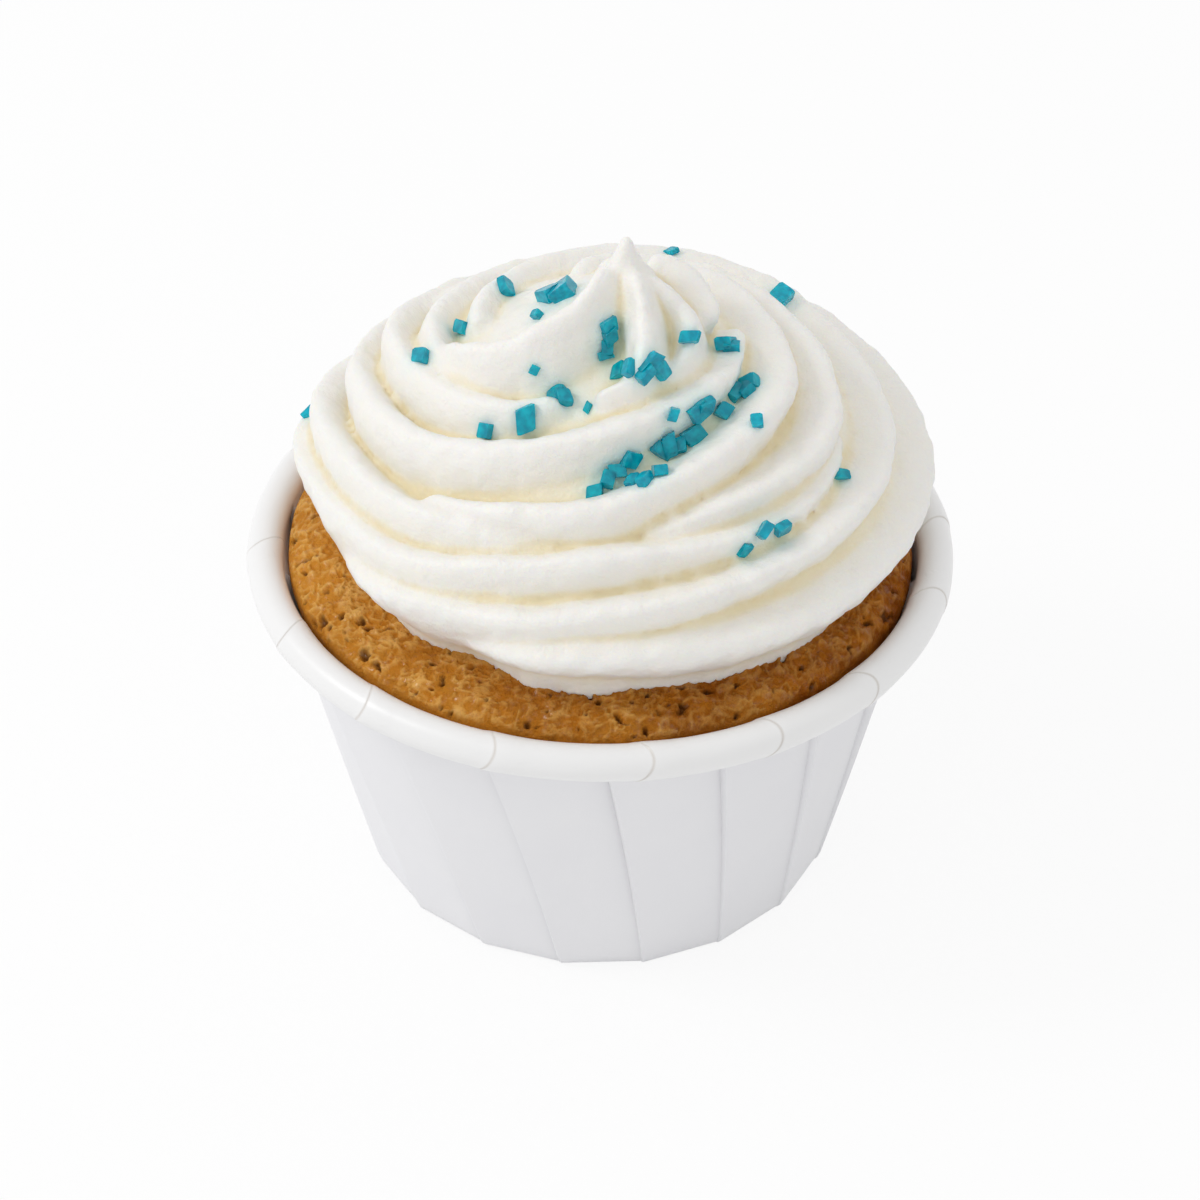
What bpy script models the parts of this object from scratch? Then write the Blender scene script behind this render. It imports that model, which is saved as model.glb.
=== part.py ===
"""A cupcake in a pleated paper case, topped with one piped swirl of buttercream.

Three pieces: the paper case with its rolled rim, the sponge baked in it, and the icing.
Modelled in metres, +Z up, with the origin at the middle of the case's base.
"""

import math

import bpy
import numpy as np

MM = 0.001

# Paper case
CASE_HEIGHT = 38.0
RIM_RADIUS = 36.0
RIM_ROLL = 1.82
BASE_RADIUS = 24.5
PAPER = 0.6
PLEATS = 18
PLEAT_STEP = 0.6
PLEAT_AZIMUTH = -79.0
PLEAT_LEAN = -11.2
PLEAT_LEAN_SWING = 1.6
COLUMNS_PER_PLEAT = 4

# Sponge
GAP = 0.3
TRIM_GAP = 0.45
CRUST_EDGE_HEIGHT = 35.6
CRUST_TOP_HEIGHT = 40.2
CRUST_ROUNDING = 2.4
CRUST_COLUMNS = 48

# Icing mound: the smooth outline that the crests of the piped ridges touch
MOUND_AXIS = (1.5, 1.5)
MOUND_RADIUS = 32.8
MOUND_FOOT = 44.3
MOUND_SKIRT = 2.8
MOUND_RISE = 25.5
MOUND_IN_POWER = 1.7
MOUND_UP_POWER = 1.38
CORE_INSET = 2.9
CORE_CLIMB = 43.0

# A ridge's section is an ellipse that leans outwards and down, so its lower side overhangs a little.
RIDGE_SIDES = 14
RIDGE_STEP = 5.0
RIDGE_LONG = 1.24
RIDGE_SHORT = 0.76
RIDGE_POINT = 0.30
RIDGE_LEAN = -2.0
RIDGE_LEAN_SWING = 24.0
RIDGE_LEAN_AZIMUTH = 15.0
LEAF_LONG = 1.35
LEAF_SHORT = 0.72
LEAF_POINT = 0.4
LEAF_LEAN = -14.0

# How far the foot of the icing stops short of a full circle, in mm, at several azimuths.
FOOT_INSETS = [(-186, 0.0), (-168, 2.6), (-152, 3.2), (-134, 1.4), (-119, 2.4), (-104, 0.4), (-85, 1.4),
               (-60, 1.4), (-30, 2.6), (-12, 2.2), (2, 0.8), (20, 0.0)]
FOOT_INSET_CLIMB = 9.0

# Each ridge is one lobe of the piped rope, given by a few stations along its crest: azimuth in
# degrees (anticlockwise from +X), climb along the mound, half width, and how proud it stands, in mm.
RIDGES = {
    "first": [(-117, 1.2, 1.8, -0.6), (-106, 2.2, 3.4, 0.0), (-84, 3.6, 4.4, 0.0), (-50, 4.8, 4.8, 0.0),
              (0, 6.2, 5.2, 0.0), (25, 8.0, 4.9, 0.5), (60, 11.6, 4.6, 0.5), (100, 15.2, 4.0, 0.1),
              (136, 18.8, 3.4, -0.2), (170, 22.6, 3.0, 0.3), (190, 24.4, 2.8, 0.2), (212, 26.2, 2.4, -0.6)],
    "second": [(-158, 0.8, 2.6, 0.0), (-144, 1.8, 3.8, 0.3), (-118, 4.7, 3.8, 0.2), (-92, 8.3, 3.2, 0.0),
               (-68, 10.4, 2.8, 0.1), (-43, 11.4, 2.7, 0.1), (-16, 12.4, 3.0, 0.0), (8, 14.6, 3.6, -0.2),
               (40, 18.6, 4.0, 0.3), (90, 22.6, 4.0, 0.1), (136, 25.4, 3.4, -0.8), (165, 27.2, 3.0, -0.6)],
    "third": [(-206, 1.2, 2.4, 0.0), (-174, 3.8, 3.2, 0.8), (-157, 5.6, 3.2, 0.6), (-134, 7.6, 3.4, 0.2),
              (-115, 10.8, 3.4, 0.0), (-87, 14.1, 3.2, 0.0), (-60, 14.9, 2.6, -0.4), (-40, 15.4, 2.0, -0.8),
              (-18, 17.0, 1.6, -1.4)],
    "fourth": [(-228, 1.4, 2.4, 0.0), (-195, 6.0, 2.8, 1.0), (-172, 10.0, 2.8, 1.1), (-144, 12.0, 3.0, 0.4),
               (-127, 13.3, 2.9, 0.0), (-108, 14.9, 2.2, -0.8)],
    "fifth": [(-80, 17.0, 1.3, -1.0), (-66, 18.0, 2.5, -0.3), (-46, 18.7, 3.0, 0.0), (-24, 19.5, 3.2, 0.3),
              (-2, 22.2, 3.2, 0.3), (30, 26.4, 3.2, -0.2), (70, 30.0, 3.2, -0.8), (110, 33.0, 2.8, -1.2)],
    "sixth": [(-136, 15.0, 1.4, -0.6), (-119, 16.2, 2.7, 0.2), (-98, 18.0, 3.2, 0.5), (-76, 21.2, 3.2, 0.5),
              (-48, 24.0, 3.3, 0.4), (-20, 25.9, 3.4, 0.3), (10, 29.2, 3.2, 0.0), (45, 32.6, 3.0, -0.4),
              (90, 35.6, 2.8, -1.0)],
    "seventh": [(-262, 1.4, 2.4, 0.0), (-232, 5.8, 3.0, 0.6), (-206, 10.4, 2.8, 1.0), (-177, 15.2, 2.8, 1.3),
                (-150, 17.8, 3.1, 0.6), (-120, 22.3, 3.6, 0.1), (-86, 27.2, 3.4, 0.1), (-58, 29.6, 3.0, 0.0),
                (-32, 30.6, 2.4, -0.2), (-10, 31.6, 2.0, -0.8)],
    "eighth": [(-315, 1.4, 2.4, 0.0), (-280, 5.0, 3.4, 0.0), (-245, 9.6, 3.0, 0.4), (-215, 14.4, 2.8, 1.0),
               (-190, 18.6, 2.8, 1.4), (-168, 21.8, 2.8, 0.4), (-138, 25.4, 2.4, -0.3), (-118, 28.8, 1.7, -1.0)],
    "ninth": [(-8, 0.8, 2.2, -0.4), (30, 3.2, 3.2, -0.3), (65, 7.0, 3.4, -0.3), (100, 10.6, 3.2, 0.0),
              (128, 13.8, 2.8, 0.0), (150, 16.0, 2.0, -0.6)],
    "back_leaf": [(-10, 35.0, 1.8, 0.2), (12, 37.6, 2.0, 1.0), (34, 40.0, 1.6, 0.9)],
}
# The folds drawn up to the peak, as above: thinner, sharper and leaning in.
LEAVES = {
    "left": [(-172, 26.2, 2.4, 0.4), (-163, 27.0, 3.2, 1.3), (-151, 28.6, 3.7, 1.9), (-139, 31.2, 3.9, 2.1),
             (-128, 34.6, 3.8, 2.0), (-118, 38.4, 3.4, 2.1), (-106, 42.4, 2.4, 2.9)],
    "front": [(-94, 30.8, 1.8, -0.4), (-82, 31.5, 2.7, 0.8), (-73, 33.6, 3.2, 1.6), (-67, 37.0, 3.0, 2.2),
              (-62, 41.8, 2.0, 3.2)],
    "right": [(-64, 32.0, 1.8, -0.6), (-50, 32.8, 2.8, 0.6), (-38, 34.4, 3.4, 1.2), (-31, 37.6, 3.2, 1.5),
              (-34, 41.4, 2.0, 2.0)],
}

# The drawn-up tip: a turned point, as (radius, height).
TIP_AXIS = (2.3, 0.3)
TIP_OUTLINE = [(4.4, 63.0), (3.6, 67.0), (2.0, 70.0), (1.1, 72.0), (0.5, 73.2)]
TIP_TOP = 73.6
ICING_VOXEL = 0.8
ICING_SHARE = 0.125


def remove_everything():
    for item in list(bpy.data.objects):
        bpy.data.objects.remove(item, do_unlink=True)


def principled(name, colour, roughness):
    material = bpy.data.materials.new(name)
    material.use_nodes = True
    shader = material.node_tree.nodes["Principled BSDF"]
    shader.inputs["Base Color"].default_value = (*colour, 1.0)
    shader.inputs["Roughness"].default_value = roughness
    shader.inputs["Metallic"].default_value = 0.0
    return material


def new_object(name, points_mm, faces, material):
    mesh = bpy.data.meshes.new(name)
    mesh.from_pydata((np.asarray(points_mm) * MM).tolist(), [], faces)
    mesh.materials.append(material)
    mesh.shade_smooth()
    mesh.set_sharp_from_angle(angle=math.radians(40))
    item = bpy.data.objects.new(name, mesh)
    bpy.context.scene.collection.objects.link(item)
    return item


def lathe_faces(rows, columns):
    """Quads of a closed grid of rings from a lower pole (point 0) to an upper pole (last point)."""
    ring = lambda row, column: 1 + row * columns + column % columns
    faces = [(0, ring(0, c + 1), ring(0, c)) for c in range(columns)]
    for row in range(rows - 1):
        faces += [(ring(row, c), ring(row, c + 1), ring(row + 1, c + 1), ring(row + 1, c)) for c in range(columns)]
    top = 1 + rows * columns
    faces += [(ring(rows - 1, c), ring(rows - 1, c + 1), top) for c in range(columns)]
    return faces


def turned(axis, rows, low, high, columns):
    """A closed turned shape about an upright axis, from a low pole through (radius, height) rows."""
    turns = np.arange(columns) * 2 * math.pi / columns
    points = [(*axis, low)]
    for radius, height in rows:
        points += [(axis[0] + radius * math.cos(turn), axis[1] + radius * math.sin(turn), height)
                   for turn in turns]
    points.append((*axis, high))
    return np.array(points), lathe_faces(len(rows), columns)


def wall_radius(height):
    """Outer radius of the case's straight cone at a height, without its pleats."""
    top = RIM_RADIUS - 2 * RIM_ROLL + 0.25
    return BASE_RADIUS + (top - BASE_RADIUS) * height / (CASE_HEIGHT - RIM_ROLL)


def pleat_offset(azimuth, height):
    """How far the folded paper stands out at an azimuth in degrees: a leaning saw tooth.

    Near the base the sides run straight from one fold to the next, so the outline is a polygon there.
    """
    climb = min(max(height / (CASE_HEIGHT - RIM_ROLL), 0.0), 1.0)
    lean = PLEAT_LEAN + PLEAT_LEAN_SWING * math.sin(math.radians(azimuth - PLEAT_AZIMUTH))
    pitch = 360.0 / PLEATS
    phase = ((azimuth - PLEAT_AZIMUTH - lean * climb) / pitch) % 1.0
    chord = math.cos(math.pi / PLEATS) / math.cos(math.radians((phase - 0.5) * pitch)) - 1.0
    return PLEAT_STEP * (phase - 0.5) * (0.4 + 0.6 * climb) + chord * BASE_RADIUS * (1.0 - climb)


def case_outline():
    """Rows of (radius, height, share of the pleats) from the base's middle, out, up, over and back in."""
    roll = RIM_ROLL
    centre = (RIM_RADIUS - roll, CASE_HEIGHT - roll)
    rows = [(BASE_RADIUS * 0.5, 0.0, 0.0), (BASE_RADIUS - 0.8, 0.0, 1.0), (BASE_RADIUS, 0.6, 1.0)]
    for height in (12.0, 24.0, CASE_HEIGHT - 2.1 * roll):
        rows.append((wall_radius(height), height, 1.0))
    for step in range(9):
        angle = math.radians(-110 + step * 290 / 8)
        rows.append((centre[0] + roll * math.cos(angle), centre[1] + roll * math.sin(angle), 0.0))
    for height in (24.0, 12.0, PAPER + 0.6):
        rows.append((wall_radius(height) - PAPER, height, 1.0))
    rows += [(BASE_RADIUS - PAPER - 0.8, PAPER, 1.0), (BASE_RADIUS * 0.5, PAPER, 0.0)]
    return rows


def paper_case():
    columns = PLEATS * COLUMNS_PER_PLEAT
    rows = case_outline()
    points = [(0.0, 0.0, 0.0)]
    for radius, height, share in rows:
        for column in range(columns):
            azimuth = PLEAT_AZIMUTH + 360.0 * (column + 0.5) / columns
            reach = radius + share * pleat_offset(azimuth, height)
            turn = math.radians(azimuth)
            points.append((reach * math.cos(turn), reach * math.sin(turn), height))
    points.append((0.0, 0.0, PAPER))
    return new_object("paper_case", points, lathe_faces(len(rows), columns),
                      principled("white paper", (0.86, 0.86, 0.88), 0.6))


def crust_height(radius):
    """Height of the sponge's top: a low dome that drops towards the case."""
    edge = wall_radius(CRUST_EDGE_HEIGHT) - PAPER - GAP
    share = min(radius / edge, 1.0)
    return CRUST_EDGE_HEIGHT + (CRUST_TOP_HEIGHT - CRUST_EDGE_HEIGHT) * (1.0 - share ** 5) ** (1 / CRUST_ROUNDING)


def sponge():
    """The baked sponge fills the case to just inside its folds, with a low domed top."""
    clearance = PAPER + GAP + PLEAT_STEP / 2
    rows = [(12.0, PAPER + GAP), (BASE_RADIUS - clearance - 1.2, PAPER + GAP)]
    for height in (2.5, 12.0, 24.0, CRUST_EDGE_HEIGHT - 1.0):
        rows.append((wall_radius(height) - clearance - 0.5 * (height < 12.0), height))
    edge = wall_radius(CRUST_EDGE_HEIGHT) - clearance
    for share in (0.985, 0.95, 0.88, 0.78, 0.6, 0.3):
        rows.append((edge * share, crust_height(edge * share)))
    points, faces = turned((0.0, 0.0), rows, PAPER + GAP, CRUST_TOP_HEIGHT, CRUST_COLUMNS)
    return new_object("cake", points, faces, principled("baked sponge", (0.42, 0.22, 0.08), 0.8))


def mound_table():
    """Climb, radius and height along the mound's outline, from the bottom of its skirt to its top."""
    angle = np.linspace(0.0, math.pi / 2, 400)
    radius = MOUND_RADIUS * np.cos(angle).clip(0.0) ** MOUND_IN_POWER
    height = MOUND_FOOT + MOUND_RISE * np.sin(angle) ** MOUND_UP_POWER
    climb = MOUND_SKIRT + np.concatenate([[0.0], np.cumsum(np.hypot(np.diff(radius), np.diff(height)))])
    return (np.concatenate([[0.0], climb]), np.concatenate([[MOUND_RADIUS], radius]),
            np.concatenate([[MOUND_FOOT - MOUND_SKIRT], height]))


def on_mound(climb, depth):
    """Radius and height of a point a depth inside the mound, with the mound's outward direction there."""
    table, radius, height = mound_table()
    along = np.stack([np.interp(climb + 0.5, table, column) - np.interp(climb - 0.5, table, column)
                      for column in (radius, height)])
    along /= np.hypot(*along)
    outward = np.stack([along[1], -along[0]])
    return (np.interp(climb, table, radius) - depth * outward[0],
            np.interp(climb, table, height) - depth * outward[1], outward)


def smooth_stations(stations, step):
    """Reads a curve through the stations every few degrees of its first column (cubic Hermite)."""
    table = np.array(stations, dtype=float)
    knots = np.concatenate([[0.0], np.cumsum(np.hypot(np.diff(table[:, 0]) / 6, np.diff(table[:, 1])))])
    count = max(4, int(np.abs(np.diff(table[:, 0])).sum() / step))
    places = np.linspace(0.0, knots[-1], count)
    slopes = np.gradient(table, knots, axis=0)
    part = np.clip(np.searchsorted(knots, places) - 1, 0, len(knots) - 2)
    width = (knots[part + 1] - knots[part])[:, None]
    t = ((places - knots[part])[:, None]) / width
    return ((2 * t**3 - 3 * t**2 + 1) * table[part] + (t**3 - 2 * t**2 + t) * width * slopes[part]
            + (-2 * t**3 + 3 * t**2) * table[part + 1] + (t**3 - t**2) * width * slopes[part + 1])


def unit(vectors):
    return vectors / np.linalg.norm(vectors, axis=1)[:, None]


def foot_inset(azimuth, climb):
    """How far the icing's edge stops short of the round mound: full at the foot, none higher up."""
    table = np.array(FOOT_INSETS)
    fade = np.clip(1.0 - climb / FOOT_INSET_CLIMB, 0.0, 1.0)
    return np.interp(azimuth, table[:, 0], table[:, 1], period=360.0) * fade


def ridge(stations, long, short, point, lean, swing):
    """One lobe of the rope: a leaning pointed tube with domed ends, sunk in to touch the mound.

    It leans down the mound by an angle that swings with azimuth.
    """
    azimuth, climb, width, proud = smooth_stations(stations, RIDGE_STEP).T
    slant = np.radians(lean + swing * np.cos(np.radians(azimuth - RIDGE_LEAN_AZIMUTH)))
    radius, height, outward = on_mound(climb, width * np.hypot(long * np.cos(slant), short * np.sin(slant)) - proud)
    radius = radius - foot_inset(azimuth, climb)
    turn = np.radians(azimuth)
    spoke = np.stack([np.cos(turn), np.sin(turn), np.zeros_like(turn)], axis=1)
    path = spoke * radius[:, None] + np.array([*MOUND_AXIS, 0.0]) + np.outer(height, (0, 0, 1))
    normal = spoke * outward[0][:, None] + np.outer(outward[1], (0, 0, 1))
    tangent = unit(np.gradient(path, axis=0))
    down = unit(np.cross(tangent, normal))
    normal = np.cross(down, tangent)
    slant = slant[:, None]
    long_axis = (np.cos(slant) * normal + np.sin(slant) * down) * (long * width)[:, None]
    short_axis = (np.sin(slant) * normal - np.cos(slant) * down) * (short * width)[:, None]
    turns = np.arange(RIDGE_SIDES) * 2 * math.pi / RIDGE_SIDES
    narrow = np.sin(turns) * (1.0 - point * np.cos(turns))
    rings = (path[:, None] + np.cos(turns)[None, :, None] * long_axis[:, None]
             + narrow[None, :, None] * short_axis[:, None])
    start = path[0] - tangent[0] * width[0] * 0.8
    end = path[-1] + tangent[-1] * width[-1] * 0.8
    points = np.concatenate([[start], rings.reshape(-1, 3), [end]])
    return points, [face[::-1] for face in lathe_faces(len(rings), RIDGE_SIDES)]


def core():
    """The solid heart of the swirl, a little inside the mound and with the same uneven foot."""
    climbs = np.concatenate([[0.0], np.linspace(0.0, CORE_CLIMB, 16)])
    radius, height, _ = on_mound(climbs, CORE_INSET)
    height[0] = CRUST_EDGE_HEIGHT
    azimuth = np.arange(48) * 360.0 / 48
    turn = np.radians(azimuth)
    reach = radius[:, None] - foot_inset(azimuth[None], climbs[:, None])
    rings = np.stack([MOUND_AXIS[0] + reach * np.cos(turn), MOUND_AXIS[1] + reach * np.sin(turn),
                      height[:, None] + 0 * turn], axis=-1)
    low, high = (*MOUND_AXIS, CRUST_EDGE_HEIGHT), (*MOUND_AXIS, MOUND_FOOT + MOUND_RISE - CORE_INSET)
    return np.concatenate([[low], rings.reshape(-1, 3), [high]]), lathe_faces(len(climbs), len(turn))


def crust_cutter():
    """The sponge's top, raised by the gap, as a block that trims the icing's underside."""
    widest = RIM_RADIUS + 2.0
    floor = CASE_HEIGHT / 2
    rows = [(widest, floor)] + [(radius, crust_height(radius) + TRIM_GAP)
                                for radius in (widest, 33.0, 31.5, 30.0, 27.0, 22.0, 12.0)]
    points, faces = turned((0.0, 0.0), rows, floor, CRUST_TOP_HEIGHT + TRIM_GAP, CRUST_COLUMNS)
    cutter = new_object("crust_cutter", points, faces, principled("cutter", (0.5, 0.5, 0.5), 0.5))
    cutter.hide_render = True
    cutter.display_type = "WIRE"
    return cutter


def icing():
    """Ridges, folds and core fused into one body, then trimmed by the sponge's top."""
    shapes = [core(), turned(TIP_AXIS, TIP_OUTLINE, TIP_OUTLINE[0][1], TIP_TOP, 16)]
    shapes += [ridge(stations, RIDGE_LONG, RIDGE_SHORT, RIDGE_POINT, RIDGE_LEAN, RIDGE_LEAN_SWING)
               for stations in RIDGES.values()]
    shapes += [ridge(stations, LEAF_LONG, LEAF_SHORT, LEAF_POINT, LEAF_LEAN, 0.0) for stations in LEAVES.values()]
    points, faces = [], []
    for shape_points, shape_faces in shapes:
        start = sum(len(block) for block in points)
        points.append(shape_points)
        faces += [tuple(start + index for index in face) for face in shape_faces]
    item = new_object("frosting", np.concatenate(points), faces,
                      principled("buttercream", (0.88, 0.86, 0.78), 0.45))
    fuse = item.modifiers.new("fuse", "REMESH")
    fuse.mode = "VOXEL"
    fuse.voxel_size = ICING_VOXEL * MM
    fuse.use_smooth_shade = True
    thin = item.modifiers.new("thin", "DECIMATE")
    thin.ratio = ICING_SHARE
    trim = item.modifiers.new("trim", "BOOLEAN")
    trim.operation = "DIFFERENCE"
    trim.object = crust_cutter()
    return item


remove_everything()
cupcake = bpy.data.objects.new("cupcake", None)
bpy.context.scene.collection.objects.link(cupcake)
for piece in (paper_case(), sponge(), icing()):
    piece.parent = cupcake
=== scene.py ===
"""The finish of a cupcake: paper case, sponge, piped buttercream and sugar crystals."""

import itertools
import math

import bmesh
import bpy
import numpy as np
from mathutils import Matrix, Vector
from mathutils.bvhtree import BVHTree


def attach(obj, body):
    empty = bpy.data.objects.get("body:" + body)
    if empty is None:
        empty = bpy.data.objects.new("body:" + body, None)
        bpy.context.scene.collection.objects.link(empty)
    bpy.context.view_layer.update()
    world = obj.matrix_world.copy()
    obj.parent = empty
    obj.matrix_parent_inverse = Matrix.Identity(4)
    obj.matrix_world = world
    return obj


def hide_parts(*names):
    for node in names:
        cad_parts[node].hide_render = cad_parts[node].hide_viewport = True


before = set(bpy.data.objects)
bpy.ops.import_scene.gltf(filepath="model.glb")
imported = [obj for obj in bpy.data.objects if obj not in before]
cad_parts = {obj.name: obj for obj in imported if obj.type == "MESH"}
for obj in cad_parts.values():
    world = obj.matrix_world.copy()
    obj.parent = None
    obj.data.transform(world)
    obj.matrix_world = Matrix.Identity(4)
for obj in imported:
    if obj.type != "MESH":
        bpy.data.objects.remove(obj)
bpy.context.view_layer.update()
scene = bpy.context.scene
scene.view_settings.view_transform = "Standard"
MM = 0.001

# ---------------------------------------------------------------- camera
# A long lens a little under half a metre away looks down on the cupcake at about forty degrees.
ELEVATION = math.radians(38.4)
DISTANCE = 0.400
TARGET = Vector((0.0, 0.0, 0.0289))
ROLL = math.radians(0.4)

camera = bpy.data.objects.new("camera", bpy.data.cameras.new("camera"))
camera.data.sensor_width = 36.0
camera.data.lens = 116.0
camera.data.clip_start = 0.01
turn = Matrix.Rotation(math.pi / 2 - ELEVATION, 4, "X") @ Matrix.Rotation(ROLL, 4, "Z")
camera.matrix_world = Matrix.Translation(TARGET) @ turn @ Matrix.Translation((0.0, 0.0, DISTANCE))
scene.collection.objects.link(camera)
scene.camera = camera


# ---------------------------------------------------------------- floor and light
# A white sweep of paper under a broad soft lamp from the upper left, filled from every side by a
# white tent. The floor and the tent show as plain white and the floor keeps the soft shadow.
class Value:
    """A node socket that takes part in arithmetic: each operator adds a Math node."""

    def __init__(self, material, socket):
        self.material = material
        self.socket = socket

    def math(self, operation, *others):
        inputs = {0: self, **dict(enumerate(others, 1))}
        return self.material.node("ShaderNodeMath", {"operation": operation}, inputs)

    def __add__(self, other):
        return self.math("ADD", other)

    def __radd__(self, other):
        return self.math("ADD", other)

    def __mul__(self, other):
        return self.math("MULTIPLY", other)

    def __rmul__(self, other):
        return self.math("MULTIPLY", other)

    def __sub__(self, other):
        return self.math("SUBTRACT", other)

    def __rsub__(self, other):
        return self.material.node("ShaderNodeMath", {"operation": "SUBTRACT"}, {0: other, 1: self})

    def clamped(self, low=0.0, high=1.0):
        return self.math("MAXIMUM", low).math("MINIMUM", high)


class Finish:
    """A material: its constants go on the shader's own sockets, and node() adds what varies."""

    def __init__(self, name, constants):
        self.data = bpy.data.materials.new(name)
        self.data.use_nodes = True
        self.tree = self.data.node_tree
        self.shader = self.tree.nodes["Principled BSDF"]
        for socket, value in constants.items():
            self.shader.inputs[socket].default_value = value

    def node(self, kind, settings=None, inputs=None, output=0):
        """Adds a node, sets its properties, then its sockets by name or number."""
        made = self.tree.nodes.new(kind)
        for name, value in (settings or {}).items():
            setattr(made, name, value)
        for name, value in (inputs or {}).items():
            if isinstance(value, Value):
                self.tree.links.new(value.socket, made.inputs[name])
            else:
                made.inputs[name].default_value = value
        return Value(self, made.outputs[output])

    def place(self):
        return self.node("ShaderNodeTexCoord", output="Object")

    def attribute(self, name):
        return self.node("ShaderNodeAttribute", {"attribute_name": name}, output="Fac")

    def noise(self, size, detail=2.0, roughness=0.5):
        """Cloudy noise from 0 to 1 whose blobs are about a size in millimetres across."""
        inputs = {"Vector": self.place(), "Scale": 1.0 / (size * MM), "Detail": detail,
                  "Roughness": roughness}
        return self.node("ShaderNodeTexNoise", {}, inputs)

    def mix(self, first, second, factor):
        """Blends two colours, given as triples or as links."""
        first, second = ((*c, 1.0) if isinstance(c, tuple) else c for c in (first, second))
        return self.node("ShaderNodeMix", {"data_type": "RGBA"}, {0: factor, 6: first, 7: second}, output=2)

    def bump(self, height, depth, below=None):
        """Raises the surface by a height from 0 to 1 times a depth in millimetres."""
        inputs = {"Height": height, "Distance": depth * MM, "Strength": 1.0}
        if below:
            inputs["Normal"] = below
        return self.node("ShaderNodeBump", {}, inputs)

    def connect(self, links):
        for socket, value in links.items():
            self.tree.links.new(value.socket, self.shader.inputs[socket])
        return self.data


FLOOR_HALF = 1.6
FLOOR_TONE = 0.92
# How much of the floor's own white a ray from the lens sees, over what the lamp gives it.
FLOOR_GLOW = 0.86
floor_mesh = bpy.data.meshes.new("floor")
corners = [(-FLOOR_HALF, -FLOOR_HALF, 0.0), (FLOOR_HALF, -FLOOR_HALF, 0.0),
           (FLOOR_HALF, FLOOR_HALF, 0.0), (-FLOOR_HALF, FLOOR_HALF, 0.0)]
floor_mesh.from_pydata(corners, [], [(0, 1, 2, 3)])
floor = bpy.data.objects.new("floor", floor_mesh)
scene.collection.objects.link(floor)
paint = Finish("white floor", {"Base Color": (FLOOR_TONE, FLOOR_TONE, FLOOR_TONE, 1.0), "Roughness": 0.9})
ray = {name: paint.node("ShaderNodeLightPath", output=name)
       for name in ("Is Camera Ray", "Is Glossy Ray", "Is Transmission Ray")}
seen = (ray["Is Camera Ray"] + ray["Is Glossy Ray"] + ray["Is Transmission Ray"]).clamped()
glow = paint.node("ShaderNodeEmission", {}, {"Color": (1.0, 1.0, 1.0, 1.0), "Strength": 1.0})
lit = Value(paint, paint.shader.outputs[0])
blend = paint.node("ShaderNodeMixShader", {}, {0: seen * FLOOR_GLOW, 1: lit, 2: glow})
paint.tree.links.new(blend.socket, paint.tree.nodes["Material Output"].inputs["Surface"])
floor_mesh.materials.append(paint.data)

TENT_LIGHT = 0.83
world = bpy.data.worlds.new("tent")
scene.world = world
world.use_nodes = True
tent = world.node_tree
path = tent.nodes.new("ShaderNodeLightPath")
shown = tent.nodes.new("ShaderNodeMath")
shown.operation = "MAXIMUM"
tent.links.new(path.outputs["Is Camera Ray"], shown.inputs[0])
tent.links.new(path.outputs["Is Transmission Ray"], shown.inputs[1])
level = tent.nodes.new("ShaderNodeMapRange")
level.inputs["To Min"].default_value = TENT_LIGHT
level.inputs["To Max"].default_value = 1.0
tent.links.new(shown.outputs[0], level.inputs["Value"])
tent.links.new(level.outputs["Result"], tent.nodes["Background"].inputs["Strength"])
tent.nodes["Background"].inputs["Color"].default_value = (1.0, 1.0, 1.0, 1.0)


SWIRL_MIDDLE = 0.045


def lamp(name, place, watts, size):
    """A square soft box aimed at the swirl."""
    light = bpy.data.lights.new(name, "AREA")
    light.energy = watts
    light.size = size
    item = bpy.data.objects.new(name, light)
    item.location = place
    aim = Vector((0.0, 0.0, SWIRL_MIDDLE)) - item.location
    item.rotation_euler = aim.to_track_quat("-Z", "Y").to_euler()
    scene.collection.objects.link(item)


lamp("key", (-0.46, -0.04, 0.46), 0.95, 0.20)


# ---------------------------------------------------------------- paper case
# A souffle cup of one round sheet of white paper: its side is gathered into leaning pleats pressed
# flat, and its edge is rolled outwards into a bead, where the folds show as fine curved seams.
RIM_RADIUS = 36.0
RIM_ROLL = 1.82
CASE_HEIGHT = 38.0
BASE_RADIUS = 24.5
PAPER = 0.6
PLEATS = 18
PLEAT_STEP = 0.72
PLEAT_AZIMUTH = -79.0
PITCH = 360.0 / PLEATS
# Places of the mesh's columns across one pleat, as shares of it: close together at the fold.
ACROSS_PLEAT = np.concatenate([[0.0, 0.012, 0.03, 0.06, 0.1], np.linspace(0.15, 0.9, 14),
                               [0.94, 0.97, 0.988]])
# The step that a pleat makes over its neighbour, as pairs of place across it and height.
STEP_PLACES = [0.0, 0.012, 0.03, 0.10, 0.5, 0.97, 0.988, 1.0]
STEP_HEIGHTS = [0.5, 0.95, 1.0, 0.82, 0.1, -0.42, -0.5, 0.5]
# Folds lean by this many degrees from base to rim, which swings by a little round the case.
PLEAT_LEAN = -11.2
PLEAT_LEAN_SWING = 1.6
PLEAT_LEAN_UNEVEN = 1.2
BULGE = 0.16
# The seams on the bead: how many, the first one's azimuth in degrees, the bend and the lap in mm.
SEAMS = 16
SEAM_AZIMUTH = -14.8
SEAM_BEND = 4.0
SEAM_LAP = 0.12


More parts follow.
